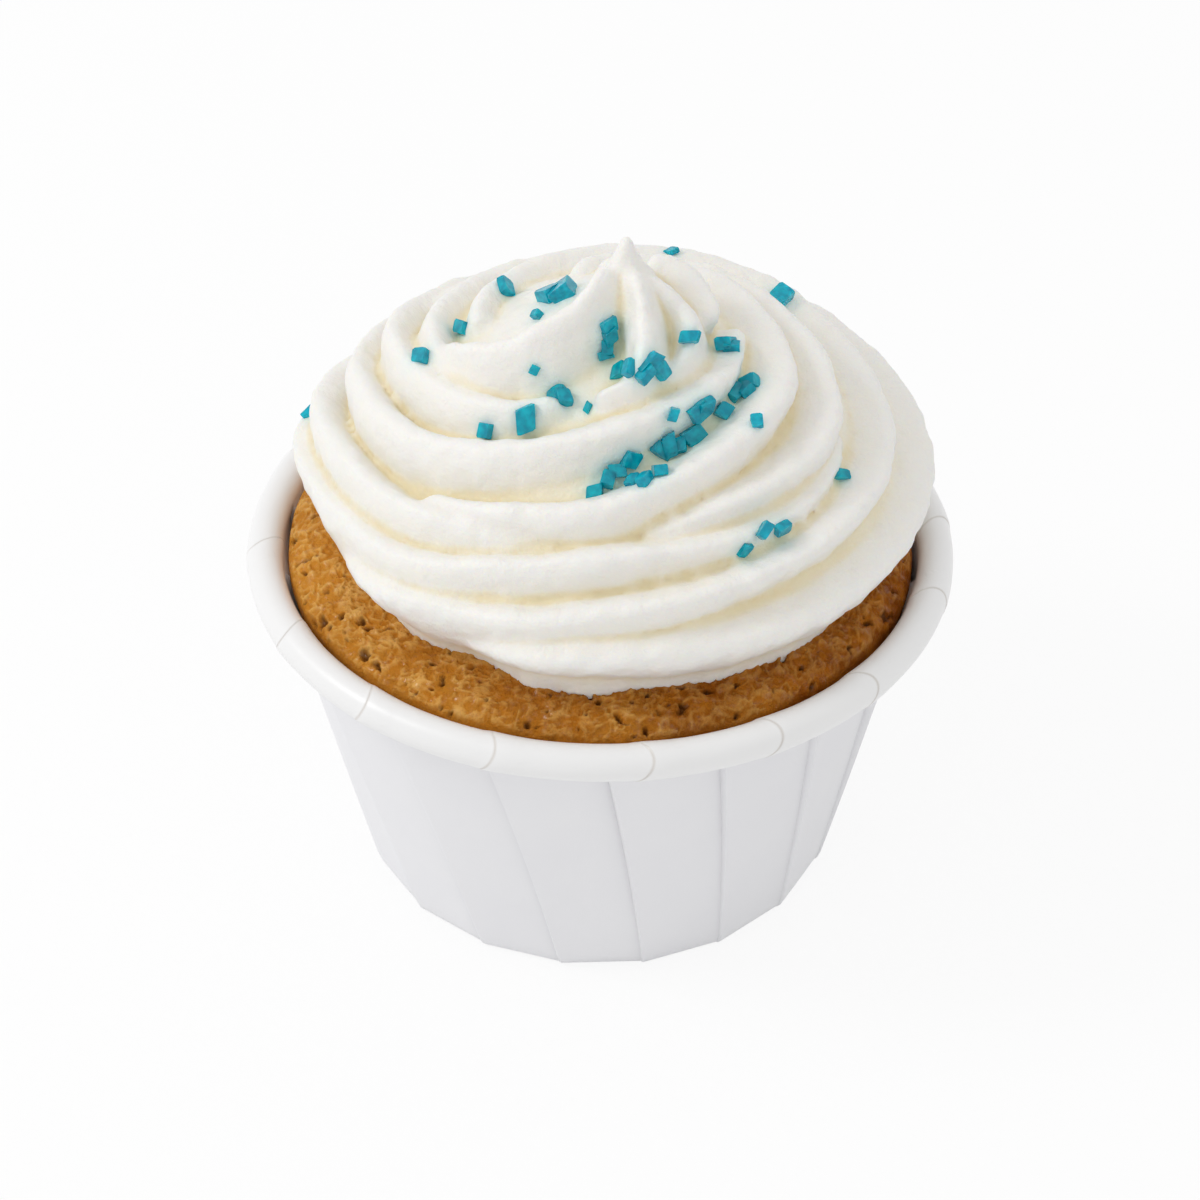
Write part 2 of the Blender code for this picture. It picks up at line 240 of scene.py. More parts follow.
def grain(points, size, seed):
    """Smooth noise from -1 to 1: random values at the corners of cubes, blended inside each."""
    table = np.random.default_rng(seed).uniform(-1.0, 1.0, 8192)
    cell = np.floor(points / size).astype(np.int64)
    part = points / size - cell
    part = part * part * (3.0 - 2.0 * part)
    total = np.zeros(points.shape[:-1])
    for corner in itertools.product((0, 1), repeat=3):
        index = cell + corner
        key = (index[..., 0] * 73856093) ^ (index[..., 1] * 19349663) ^ (index[..., 2] * 83492791)
        weight = np.where(corner, part, 1.0 - part).prod(axis=-1)
        total += table[key % len(table)] * weight
    return total


def ring_surface(rings, low=None, high=None):
    """Closes a grid of rings (rows, columns, xyz) with a point at each end: quads and triangles.

    Rows run from the low end to the high one and columns anticlockwise, so faces point outwards.
    """
    rows, columns = rings.shape[:2]
    low = rings[0].mean(axis=0) if low is None else low
    high = rings[-1].mean(axis=0) if high is None else high
    points = np.concatenate([rings.reshape(-1, 3), [low, high]])
    index = np.arange(rows * columns).reshape(rows, columns)
    beside = np.roll(index, -1, axis=1)
    quads = np.stack([index[:-1], beside[:-1], beside[1:], index[1:]], axis=-1).reshape(-1, 4)
    bottom = np.stack([np.full(columns, rows * columns), beside[0], index[0]], axis=-1)
    top = np.stack([index[-1], beside[-1], np.full(columns, rows * columns + 1)], axis=-1)
    return points, quads, np.concatenate([bottom, top])


def gather(shapes):
    """Joins several (points, quads, triangles) into one."""
    starts = np.cumsum([0] + [len(shape[0]) for shape in shapes[:-1]])
    return (np.concatenate([shape[0] for shape in shapes]),
            np.concatenate([shape[1] + start for shape, start in zip(shapes, starts)]),
            np.concatenate([shape[2] + start for shape, start in zip(shapes, starts)]))


def piece_from(name, shape, material, smooth_angle=180.0):
    """Makes an object from (points in mm, quads, triangles), at the origin, shaded smooth."""
    points, quads, triangles = shape
    mesh = bpy.data.meshes.new(name)
    mesh.vertices.add(len(points))
    mesh.vertices.foreach_set("co", (points * MM).astype(np.float32).ravel())
    mesh.loops.add(quads.size + triangles.size)
    loops = np.concatenate([quads.ravel(), triangles.ravel()])
    mesh.loops.foreach_set("vertex_index", loops.astype(np.int32))
    starts = np.concatenate([np.arange(len(quads)) * 4, quads.size + np.arange(len(triangles)) * 3])
    mesh.polygons.add(len(starts))
    mesh.polygons.foreach_set("loop_start", starts.astype(np.int32))
    mesh.update(calc_edges=True)
    mesh.validate()
    mesh.shade_smooth()
    if smooth_angle < 180.0:
        mesh.set_sharp_from_angle(angle=math.radians(smooth_angle))
    mesh.materials.append(material)
    item = bpy.data.objects.new(name, mesh)
    scene.collection.objects.link(item)
    return item


def paint_values(item, grids):
    """Stores one number for each point, for the material: each grid's own, then 0 at both end points."""
    for name, values in grids.items():
        mark = item.data.attributes.new(name, "FLOAT", "POINT")
        mark.data.foreach_set("value", np.concatenate([values.ravel(), [0.0, 0.0]]).astype(np.float32))


def wall_radius(height):
    """Outer radius of the case's straight cone at a height."""
    top = RIM_RADIUS - 2 * RIM_ROLL + 0.25
    return BASE_RADIUS + (top - BASE_RADIUS) * height / (CASE_HEIGHT - RIM_ROLL)


def case_rings():
    """Rings of the whole closed case: from the middle of its base, out, up, over the bead and down.

    A column keeps its place in its pleat all the way up, so the folds are crisp lines that lean.
    Across a pleat the paper rises from under its neighbour, bulges, and ends in a step.
    """
    roll = RIM_ROLL
    outside = np.linspace(1.6, CASE_HEIGHT - 2.0 * roll, 22)
    bead = np.radians(np.linspace(-112, 178, 30))
    inside = np.linspace(CASE_HEIGHT - roll - 1.0, PAPER + 0.8, 8)
    foot_radius = [BASE_RADIUS * 0.5, BASE_RADIUS - 1.4, BASE_RADIUS - 0.35, BASE_RADIUS]
    foot_height = [0.0, 0.0, 0.12, 0.55]
    radius = np.concatenate([foot_radius, wall_radius(outside), RIM_RADIUS - roll + roll * np.cos(bead),
                             wall_radius(inside) - PAPER, [BASE_RADIUS - PAPER - 1.2, BASE_RADIUS * 0.5]])
    height = np.concatenate([foot_height, outside, CASE_HEIGHT - roll + roll * np.sin(bead), inside,
                             [PAPER, PAPER]])
    before = len(foot_height) + len(outside)
    after = len(height) - before - len(bead)
    in_bead = np.concatenate([np.zeros(before), np.ones(len(bead)), np.zeros(after)])
    bead_turn = np.concatenate([np.zeros(before), bead, np.zeros(after)])
    share = 1.0 - in_bead
    share[[0, -1]] = 0.0
    climb = np.clip(height / (CASE_HEIGHT - roll), 0.0, 1.0)

    phase = np.tile(ACROSS_PLEAT, PLEATS)
    fold = np.repeat(np.arange(PLEATS), len(ACROSS_PLEAT))
    start = PLEAT_AZIMUTH + PITCH * fold
    uneven = np.random.default_rng(5).uniform(-1.0, 1.0, (3, PLEATS))
    swing = np.sin(np.radians(start - PLEAT_AZIMUTH + PITCH * phase))
    between = uneven[0][fold] * (1 - phase) + np.roll(uneven[0], -1)[fold] * phase
    lean = PLEAT_LEAN + PLEAT_LEAN_SWING * swing + PLEAT_LEAN_UNEVEN * between
    azimuth = start[None] + PITCH * phase[None] + lean[None] * climb[:, None]
    chord = math.cos(math.pi / PLEATS) / np.cos(np.radians((phase - 0.5) * PITCH)) - 1.0
    step = PLEAT_STEP * (1.0 + 0.3 * uneven[2][fold]) * np.interp(phase, STEP_PLACES, STEP_HEIGHTS)
    bulge = BULGE * np.sin(np.pi * phase) ** 2 * (1.0 + 0.7 * uneven[1][fold])
    offset = ((step + bulge)[None] * (0.18 + 0.82 * climb[:, None])
              + (chord * BASE_RADIUS)[None] * (1.0 - climb[:, None]) ** 1.3)

    seams = np.cumsum(np.random.default_rng(11).uniform(18.0, 27.0, SEAMS))
    seams = seams * 360.0 / seams[-1] + SEAM_AZIMUTH
    bend = np.zeros(len(height))
    bend[in_bead > 0] = SEAM_BEND * np.sin(np.linspace(-1.6, 1.4, len(bead))) ** 2
    around = (azimuth + bend[:, None])[None]
    away = (around - seams[:, None, None] + 180.0) % 360.0 - 180.0
    away = np.take_along_axis(away, np.abs(away).argmin(axis=0)[None], axis=0)[0]
    lap = np.clip(away / 1.2 + 0.5, 0.0, 1.0) * np.clip(1.0 - away / 8.0, 0.0, 1.0)
    bead_offset = in_bead[:, None] * SEAM_LAP * lap
    reach = radius[:, None] + share[:, None] * offset + bead_offset * np.cos(bead_turn)[:, None]
    lift = bead_offset * np.sin(bead_turn)[:, None]
    turn = np.radians(azimuth)
    rings = np.stack([reach * np.cos(turn), reach * np.sin(turn), height[:, None] + lift], axis=-1)
    shade = np.exp((phase - 1.0) / 0.05)[None] * share[:, None]
    return rings, away, in_bead, shade


rings, seam_away, bead_share, fold_shade = case_rings()
paper = Finish("white paper", {"Coat Weight": 0.08, "Coat Roughness": 0.35})
fibre = paper.noise(0.25, 3.0, 0.65)
cloud = paper.noise(7.0, 2.0)
bead = paper.attribute("bead")
away = paper.attribute("seam_away")
near = paper.attribute("seam_near") * bead
seam = (1.0 - away.math("ABSOLUTE") * 2.6).clamped() * near
sheet = paper.mix((0.820, 0.818, 0.842), (0.850, 0.848, 0.862), cloud)
sheet = paper.mix(sheet, (0.860, 0.857, 0.855), bead)
tint = paper.mix(sheet, (0.50, 0.42, 0.33), seam * 0.4)
tint = paper.mix(tint, (0.60, 0.60, 0.62), paper.attribute("fold_shade") * 0.35)
lap = (away * 3.0 + 0.5).clamped() * (1.0 - away * 0.15).clamped() * near
relief = paper.bump(fibre, 0.012, below=paper.bump(lap, 0.10))
gloss = 0.50 - bead * 0.22 + 0.10 * fibre
paper_data = paper.connect({"Base Color": tint, "Roughness": gloss, "Normal": relief})
case = piece_from("case_paper", ring_surface(rings), paper_data, 35.0)
seam_near = (np.abs(seam_away) < 5.0) * 1.0
paint_values(case, {"seam_away": seam_away, "seam_near": seam_near, "fold_shade": fold_shade,
                    "bead": bead_share[:, None] + 0 * seam_away})
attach(case, "root")
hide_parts("paper_case")


# ---------------------------------------------------------------- sponge
# Baked sponge that has risen to a low dome and shrunk a little from the paper. Its skin is a moist
# open crumb: rounded lumps and small burst bubbles. Its colour holds painted shade, darker towards
# the right away from the lamp and near black in the bubbles, and painted highlights on the crumb tops.
CRUST_EDGE = 36.5
SPONGE_EDGE_HEIGHT = 35.6
CRUST_TOP = 40.2
CRUST_ROUNDING = 2.4
SPONGE_COLUMNS = 900


def crust_height(radius):
    """Height of the sponge's top at a radius: a low dome that drops towards the case."""
    edge = wall_radius(SPONGE_EDGE_HEIGHT) - PAPER - 0.1
    share = np.clip(radius / edge, 0.0, 1.0)
    return CRUST_EDGE + (CRUST_TOP - CRUST_EDGE) * (1.0 - share**5) ** (1 / CRUST_ROUNDING)


def sponge_rings():
    """Rings up the hidden side and in over the domed top, roughened by noise of four sizes.

    Bubbles are cut where a noise passes a threshold, and the lumps are that noise's absolute value,
    which gives rounded crumbs with creases between them.
    """
    clearance = PAPER + 0.03
    edge = wall_radius(SPONGE_EDGE_HEIGHT) - clearance
    side = np.array([1.2, 8.0, 16.0, 24.0, 31.0, 33.5, SPONGE_EDGE_HEIGHT])
    shares = np.concatenate([np.linspace(0.999, 0.78, 72), [0.7, 0.5, 0.2]])
    radius = np.concatenate([[12.0], wall_radius(side) - clearance, edge * shares])
    height = np.concatenate([[1.2], side, crust_height(edge * shares)])
    turn = np.arange(SPONGE_COLUMNS) * 2 * np.pi / SPONGE_COLUMNS
    flat = np.stack([radius[:, None] * np.cos(turn), radius[:, None] * np.sin(turn),
                     height[:, None] + 0 * turn], axis=-1)
    warped = flat + 0.5 * np.stack([grain(flat, 0.9, seed) for seed in (31, 32, 33)], axis=-1)
    walls = np.clip(1.0 - np.abs(grain(warped, 1.05, 21)) * 2.4, 0.0, 1.0)
    curls = np.clip(1.0 - np.abs(grain(warped, 0.58, 22)) * 2.0, 0.0, 1.0)
    fine = grain(flat, 0.36, 23)
    swell = grain(flat, 4.5, 24)
    bubbles = np.clip((grain(warped, 0.95, 25) - 0.60) * 5.0, 0.0, 1.0)
    top = np.clip((np.arange(len(radius)) - len(side)) / 3.0, 0.0, 1.0)[:, None]
    lump = grain(flat, 2.2, 26)
    rise = top * (0.20 * swell + 0.16 * lump + 0.24 * walls + 0.22 * curls + 0.08 * fine
                  - 0.7 * bubbles - 0.30)
    slope = np.clip((radius / edge) ** 6, 0.0, 1.0)[:, None]
    reach = radius[:, None] + np.minimum(rise, 0.0) * slope * 0.5
    raised = height[:, None] + rise * (1.0 - 0.3 * slope)
    rough = np.stack([reach * np.cos(turn), reach * np.sin(turn), raised], axis=-1)
    return rough, np.clip(0.45 * walls + 0.5 * curls + 0.2 * lump, 0.0, 1.0) * top, bubbles * top


rings, crest_share, pit_share = sponge_rings()
crumb = Finish("baked sponge", {"Subsurface Weight": 0.10, "Subsurface Radius": (1.0, 0.45, 0.2),
                                "Subsurface Scale": 0.0010, "Specular IOR Level": 0.10,
                                "Coat Roughness": 0.15})
pores = crumb.noise(0.30, 3.0, 0.7)
blotch = crumb.noise(2.6, 3.0, 0.6)
patch = crumb.noise(10.0, 2.0, 0.5)
across = crumb.node("ShaderNodeSeparateXYZ", {}, {0: crumb.place()}, output="X")
ridge_light = crumb.attribute("crest")
hole = crumb.attribute("hole")
# Painted shade: darker towards the right, away from the lamp, mixed with random patches of deeper baking.
right_shade_and_browning = (across * 17.0 + 0.56 + (patch - 0.5) * 1.4).clamped()
baked = crumb.mix((0.66, 0.275, 0.030), (0.25, 0.061, 0.0), right_shade_and_browning)
baked = crumb.mix(baked, (0.56, 0.19, 0.008), ((blotch - 0.42) * 3.0).clamped() * 0.7)
# Painted highlight: the raised crumb tops are painted a lighter tan, less so where the right side is painted
# in shade.
painted_crest_highlight = (ridge_light * 1.7 - 0.5).clamped() * (0.70 - right_shade_and_browning * 0.50)
baked = crumb.mix(baked, (0.90, 0.54, 0.16), painted_crest_highlight)
# Painted shade: the bubbles and small pores are painted near black for the shade inside them.
painted_pore_shade = (hole * 0.85 + (pores * -5.0 + 1.75).clamped() * 0.45).clamped()
baked = crumb.mix(baked, (0.10, 0.028, 0.003), painted_pore_shade)
wet = ((crumb.noise(0.7, 2.0) - 0.52) * 6.0).clamped()
crumb_data = crumb.connect({"Base Color": baked, "Roughness": 0.30 + 0.4 * pores,
                            "Coat Weight": wet * 0.7, "Normal": crumb.bump(pores, 0.30)})
cake = piece_from("sponge", ring_surface(rings), crumb_data)
paint_values(cake, {"crest": crest_share, "hole": pit_share})
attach(cake, "root")
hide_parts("cake")


# ---------------------------------------------------------------- buttercream
# One thick rope of buttercream, pressed through an open star nozzle and laid in a rising spiral that
# ends in a drawn-up peak. Each lobe of the star leaves a ridge that leans over the one below it.
MOUND_AXIS = (1.5, 1.5)
MOUND_RADIUS = 32.8
MOUND_FOOT = 44.3
MOUND_SKIRT = 2.8
MOUND_RISE = 25.5
MOUND_IN_POWER = 1.7
MOUND_UP_POWER = 1.38
CORE_INSET = 2.9
RIDGE_SIDES = 28
RIDGE_LONG = 1.24
RIDGE_SHORT = 0.76
RIDGE_POINT = 0.30
RIDGE_LEAN = -2.0
RIDGE_LEAN_SWING = 24.0
RIDGE_LEAN_AZIMUTH = 15.0
VOXEL = 0.42

FOOT_INSET_CLIMB = 9.0
# How far the foot of the icing stops short of a full circle, in mm, at several azimuths.
FOOT_INSETS = [(-186, 0.0), (-168, 2.6), (-152, 3.2), (-134, 1.4), (-119, 2.4), (-104, 0.4), (-85, 1.4),
               (-60, 1.4), (-30, 2.6), (-12, 2.2), (2, 0.8), (20, 0.0)]

# Stations along each ridge's crest: azimuth in degrees, climb along the mound, half width and how
# proud it stands, in mm.
RIDGES = {
    "first": [(-117, 1.2, 1.8, -0.6), (-106, 2.2, 3.4, 0.0), (-84, 3.6, 4.4, 0.0), (-50, 4.8, 4.8, 0.0),
              (0, 6.2, 5.2, 0.0), (25, 8.0, 4.9, 0.5), (60, 11.6, 4.6, 0.5), (100, 15.2, 4.0, 0.1),
              (136, 18.8, 3.4, -0.2), (170, 22.6, 3.0, 0.3), (190, 24.4, 2.8, 0.2), (212, 26.2, 2.4, -0.6)],
    "second": [(-158, 0.8, 2.6, 0.0), (-144, 1.8, 3.8, 0.3), (-118, 4.7, 3.8, 0.2), (-92, 8.3, 3.2, 0.0),
               (-68, 10.4, 2.8, 0.1), (-43, 11.4, 2.7, 0.1), (-16, 12.4, 3.0, 0.0), (8, 14.6, 3.6, -0.2),
               (40, 18.6, 4.0, 0.3), (90, 22.6, 4.0, 0.1), (136, 25.4, 3.4, -0.8), (165, 27.2, 3.0, -0.6)],
    "third": [(-206, 1.2, 2.4, 0.0), (-174, 3.8, 3.2, 0.8), (-157, 5.6, 3.2, 0.6), (-134, 7.6, 3.4, 0.2),
              (-115, 10.8, 3.4, 0.0), (-87, 14.1, 3.2, 0.0), (-60, 14.9, 2.6, -0.4), (-40, 15.4, 2.0, -0.9),
              (-18, 17.0, 1.4, -1.8)],
    "fourth": [(-228, 1.4, 2.4, 0.0), (-195, 6.0, 2.8, 1.0), (-172, 10.0, 2.8, 1.1), (-144, 12.0, 3.0, 0.4),
               (-127, 13.3, 2.8, -0.1), (-106, 14.9, 1.5, -1.7)],
    "fifth": [(-82, 16.8, 1.0, -1.8), (-66, 18.0, 2.4, -0.3), (-46, 18.7, 3.0, 0.0), (-24, 19.5, 3.2, 0.3),
              (-2, 22.2, 3.2, 0.3), (30, 26.4, 3.2, -0.2), (70, 30.0, 3.2, -0.8), (110, 33.0, 2.8, -1.2)],
    "sixth": [(-136, 15.0, 1.4, -0.6), (-119, 16.2, 2.7, 0.2), (-98, 18.0, 3.2, 0.5), (-76, 21.2, 3.2, 0.5),
              (-48, 24.0, 3.3, 0.4), (-20, 25.9, 3.4, 0.3), (10, 29.2, 3.2, 0.0), (45, 32.6, 3.0, -0.4),
              (90, 35.6, 2.8, -1.0)],
    "seventh": [(-262, 1.4, 2.4, 0.0), (-232, 5.8, 3.0, 0.6), (-206, 10.4, 2.8, 1.0), (-177, 15.2, 2.8, 1.3),
                (-150, 17.8, 3.1, 0.6), (-120, 22.3, 3.6, 0.1), (-86, 27.2, 3.4, 0.1), (-58, 29.6, 3.0, 0.0),
                (-32, 30.6, 2.4, -0.2), (-10, 31.6, 2.0, -0.8)],
    "eighth": [(-315, 1.4, 2.4, 0.0), (-280, 5.0, 3.4, 0.0), (-245, 9.6, 3.0, 0.4), (-215, 14.4, 2.8, 1.0),
               (-190, 18.6, 2.8, 1.4), (-168, 21.8, 2.8, 0.4), (-138, 25.4, 2.4, -0.3),
               (-118, 28.8, 1.7, -1.0)],
    "ninth": [(-8, 0.8, 2.2, -0.4), (30, 3.2, 3.2, -0.3), (65, 7.0, 3.4, -0.3), (100, 10.6, 3.2, 0.0),
              (128, 13.8, 2.8, 0.0), (150, 16.0, 2.0, -0.6)],
    "back_leaf": [(-10, 35.0, 1.8, 0.2), (12, 37.6, 2.0, 1.0), (34, 40.0, 1.6, 0.9)],
}
# The folds drawn up to the peak, as above: thinner, sharper and leaning in.
LEAVES = {
    "left": [(-172, 26.2, 2.4, 0.4), (-163, 27.0, 3.2, 1.3), (-151, 28.6, 3.7, 1.9), (-139, 31.2, 3.9, 2.1),
             (-128, 34.6, 3.8, 2.0), (-118, 38.4, 3.4, 2.1), (-106, 42.4, 2.4, 2.9)],
    "front": [(-94, 30.8, 1.8, -0.4), (-82, 31.5, 2.7, 0.8), (-73, 33.6, 3.2, 1.6), (-67, 37.0, 3.0, 2.2),
              (-62, 41.8, 2.0, 3.2)],
    "right": [(-64, 32.0, 1.8, -0.6), (-50, 32.8, 2.8, 0.6), (-38, 34.4, 3.4, 1.2), (-31, 37.6, 3.2, 1.5),
              (-34, 41.4, 2.0, 2.0)],
}
LEAF_LONG = 1.35
LEAF_SHORT = 0.72
LEAF_POINT = 0.4
LEAF_LEAN = -14.0
TIP_AXIS = (2.3, 0.3)
TIP_OUTLINE = [(4.4, 63.0), (3.6, 67.0), (2.0, 70.0), (1.1, 72.0), (0.5, 73.2)]
TIP_TOP = 73.6

angle = np.linspace(0.0, np.pi / 2, 800)
mound_radius = np.concatenate([[MOUND_RADIUS], MOUND_RADIUS * np.cos(angle).clip(0.0) ** MOUND_IN_POWER])
mound_height = np.concatenate([[MOUND_FOOT - MOUND_SKIRT],
                               MOUND_FOOT + MOUND_RISE * np.sin(angle) ** MOUND_UP_POWER])
mound_run = np.hypot(np.diff(mound_radius), np.diff(mound_height))
mound_climb = np.concatenate([[0.0], np.cumsum(mound_run)])


def on_mound(climb, depth):
    """Radius and height of a point a depth inside the mound, with the outward direction there."""
    along = np.stack([np.interp(climb + 0.5, mound_climb, column)
                      - np.interp(climb - 0.5, mound_climb, column)
                      for column in (mound_radius, mound_height)])
    along /= np.hypot(*along)
    outward = np.stack([along[1], -along[0]])
    return (np.interp(climb, mound_climb, mound_radius) - depth * outward[0],
            np.interp(climb, mound_climb, mound_height) - depth * outward[1], outward)


def foot_inset(azimuth, climb):
    """How far the icing's edge stops short of the round mound: full at the foot, none higher up."""
    table = np.array(FOOT_INSETS)
    left = np.clip(1.0 - climb / FOOT_INSET_CLIMB, 0.0, 1.0)
    return np.interp(azimuth, table[:, 0], table[:, 1], period=360.0) * left


def smooth_stations(stations, step):
    """Reads a curve through the stations every few degrees of their azimuth (cubic Hermite)."""
    table = np.array(stations, dtype=float)
    knots = np.concatenate([[0.0], np.cumsum(np.hypot(np.diff(table[:, 0]) / 6, np.diff(table[:, 1])))])
    count = max(6, int(np.abs(np.diff(table[:, 0])).sum() / step))
    places = np.linspace(0.0, knots[-1], count)
    slopes = np.gradient(table, knots, axis=0)
    part = np.clip(np.searchsorted(knots, places) - 1, 0, len(knots) - 2)
    width = (knots[part + 1] - knots[part])[:, None]
    t = (places - knots[part])[:, None] / width
    return ((2 * t**3 - 3 * t**2 + 1) * table[part] + (t**3 - 2 * t**2 + t) * width * slopes[part]
            + (-2 * t**3 + 3 * t**2) * table[part + 1] + (t**3 - t**2) * width * slopes[part + 1])


def unit(vectors):
    return vectors / np.linalg.norm(vectors, axis=-1, keepdims=True)


def ridge(stations, long, short, point, lean, swing):
    """One lobe of the rope: a leaning pointed tube with domed ends, sunk in to touch the mound.

    It leans down by an angle that swings with azimuth and is greatest on the right.
    """
    azimuth, climb, width, proud = smooth_stations(stations, 2.0).T
    slant = np.radians(lean + swing * np.cos(np.radians(azimuth - RIDGE_LEAN_AZIMUTH)))
    half_depth = width * np.hypot(long * np.cos(slant), short * np.sin(slant))
    radius, height, outward = on_mound(climb, half_depth - proud)
    radius = radius - foot_inset(azimuth, climb)
    turn = np.radians(azimuth)
    spoke = np.stack([np.cos(turn), np.sin(turn), np.zeros_like(turn)], axis=1)
    path = spoke * radius[:, None] + np.array([*MOUND_AXIS, 0.0]) + np.outer(height, (0, 0, 1))
    normal = spoke * outward[0][:, None] + np.outer(outward[1], (0, 0, 1))
    tangent = unit(np.gradient(path, axis=0))
    down = unit(np.cross(tangent, normal))
    normal = np.cross(down, tangent)
    slant = slant[:, None]
    long_axis = (np.cos(slant) * normal + np.sin(slant) * down) * (long * width)[:, None]
    short_axis = (np.sin(slant) * normal - np.cos(slant) * down) * (short * width)[:, None]
    turns = np.arange(RIDGE_SIDES) * 2 * np.pi / RIDGE_SIDES
    narrow = np.sin(turns) * (1.0 - point * np.cos(turns))
    rings = (path[:, None] + np.cos(turns)[None, :, None] * long_axis[:, None]
             + narrow[None, :, None] * short_axis[:, None])
    first = path[0] + (rings[0] - path[0]) * 0.8 - tangent[0] * width[0] * 0.5
    last = path[-1] + (rings[-1] - path[-1]) * 0.8 + tangent[-1] * width[-1] * 0.5
    rings = np.concatenate([[first], rings, [last]])
    return ring_surface(rings, path[0] - tangent[0] * width[0] * 0.8,
                        path[-1] + tangent[-1] * width[-1] * 0.8)


def turned(axis, outline, columns):
    """Turns an outline of (radius, height) about an upright axis."""
    turns = np.arange(columns) * 2 * np.pi / columns
    radius, height = np.array(outline, dtype=float).T
    return np.stack([axis[0] + radius[:, None] * np.cos(turns), axis[1] + radius[:, None] * np.sin(turns),
                     height[:, None] + 0 * turns], axis=-1)


core_climb = np.concatenate([[0.0], np.linspace(0.0, 43.0, 40)])
core_radius, core_height, _ = on_mound(core_climb, CORE_INSET)
core_height[0] = CRUST_EDGE
core_azimuth = np.arange(120) * 3.0
core_reach = core_radius[:, None] - foot_inset(core_azimuth[None], core_climb[:, None])
core_turn = np.radians(core_azimuth)
core = np.stack([MOUND_AXIS[0] + core_reach * np.cos(core_turn),
                 MOUND_AXIS[1] + core_reach * np.sin(core_turn),
                 core_height[:, None] + 0 * core_turn], axis=-1)
shapes = [ring_surface(core),
          ring_surface(turned(TIP_AXIS, TIP_OUTLINE, 32), high=(*TIP_AXIS, TIP_TOP))]
shapes += [ridge(stations, RIDGE_LONG, RIDGE_SHORT, RIDGE_POINT, RIDGE_LEAN, RIDGE_LEAN_SWING)
           for stations in RIDGES.values()]
shapes += [ridge(stations, LEAF_LONG, LEAF_SHORT, LEAF_POINT, LEAF_LEAN, 0.0)
           for stations in LEAVES.values()]
rough = piece_from("rough_swirl", gather(shapes), paper_data)
fuse = rough.modifiers.new("fuse", "REMESH")
fuse.mode = "VOXEL"
fuse.voxel_size = VOXEL * MM
fused = bpy.data.meshes.new_from_object(rough.evaluated_get(bpy.context.evaluated_depsgraph_get()))
bpy.data.objects.remove(rough, do_unlink=True)


def mesh_points(mesh):
    points = np.empty(len(mesh.vertices) * 3, np.float32)
    mesh.vertices.foreach_get("co", points)
    return points.reshape(-1, 3).astype(float) / MM


def mesh_normals(mesh):
    normals = np.empty(len(mesh.vertices) * 3, np.float32)
    mesh.vertices.foreach_get("normal", normals)
    return normals.reshape(-1, 3).astype(float)


def relaxed(points, edges, times, share=0.5):
    """Moves every point a share of the way to the mean of its neighbours, several times over."""
    count = np.bincount(edges.ravel(), minlength=len(points))[:, None]
    for _ in range(times):
        total = np.stack([np.bincount(edges[:, 0], points[edges[:, 1], k], len(points))
                          + np.bincount(edges[:, 1], points[edges[:, 0], k], len(points))
                          for k in range(3)], axis=1)
        points = points + share * (total / count - points)
    return points


edges = np.empty(len(fused.edges) * 2, np.int32)
fused.edges.foreach_get("vertices", edges)
edges = edges.reshape(-1, 2)
points = relaxed(mesh_points(fused), edges, 3)
fused.vertices.foreach_set("co", (points * MM).astype(np.float32).ravel())
fused.update()
normals = mesh_normals(fused)
wide = relaxed(points, edges, 60, 0.8)
hollow = ((wide - points) * normals).sum(axis=1)
narrow = relaxed(points, edges, 16, 0.8) - relaxed(points, edges, 3, 0.8)
crease = (narrow * normals).sum(axis=1)
ragged = (0.16 * grain(points, 2.2, 41) + 0.09 * grain(points, 0.9, 42)
          + 0.22 * grain(points * (1.0, 1.0, 1.6), 6.0, 43))
torn = 0.20 * np.clip(grain(points, 1.5, 44) - 0.25, 0.0, None) * np.clip(-hollow, 0.0, 1.0)
points = points + normals * (ragged - torn)[:, None]
radius = np.hypot(points[:, 0], points[:, 1])
points[:, 2] = np.maximum(points[:, 2], crust_height(radius) - 0.7)
fused.vertices.foreach_set("co", (points * MM).astype(np.float32).ravel())
fused.shade_smooth()
fused.name = "buttercream"
swirl = bpy.data.objects.new("buttercream", fused)
scene.collection.objects.link(swirl)


# ---------------------------------------------------------------- sugar crystals
# Coarse turquoise sugar, scattered by hand while the icing was soft: blunt little blocks and flakes
# about two millimetres across, lying on the ridges and caught in the furrows.
# Each handful runs from one place to another on the mound: azimuth and climb at both ends, how many
# crystals, their mean size in mm, and how far they stray.
HANDFULS = [
    (-96, 20.8, -84, 24.2, 4, 2.0, 0.4), (-88, 20.8, -76, 22.0, 3, 1.6, 0.4),
    (-78, 25.6, -70, 24.6, 3, 2.1, 0.5), (-66, 26.6, -48, 27.5, 5, 1.9, 0.6),
    (-45, 27.2, -33, 28.3, 3, 1.8, 0.5), (-99, 37.2, -97, 35.0, 4, 1.7, 0.6),
    (-91, 33.4, -66, 32.2, 5, 1.8, 0.5), (-30, 31.8, -27, 30.4, 2, 1.9, 0.3),
    (-59, 14.6, -51, 14.2, 2, 2.0, 0.3), (-116, 30.4, -110, 28.8, 2, 2.2, 0.2),
    (-124, 26.2, -119, 26.6, 1, 2.2, 0.1), (-170, 37.6, -154, 40.0, 2, 2.3, 0.2),
]
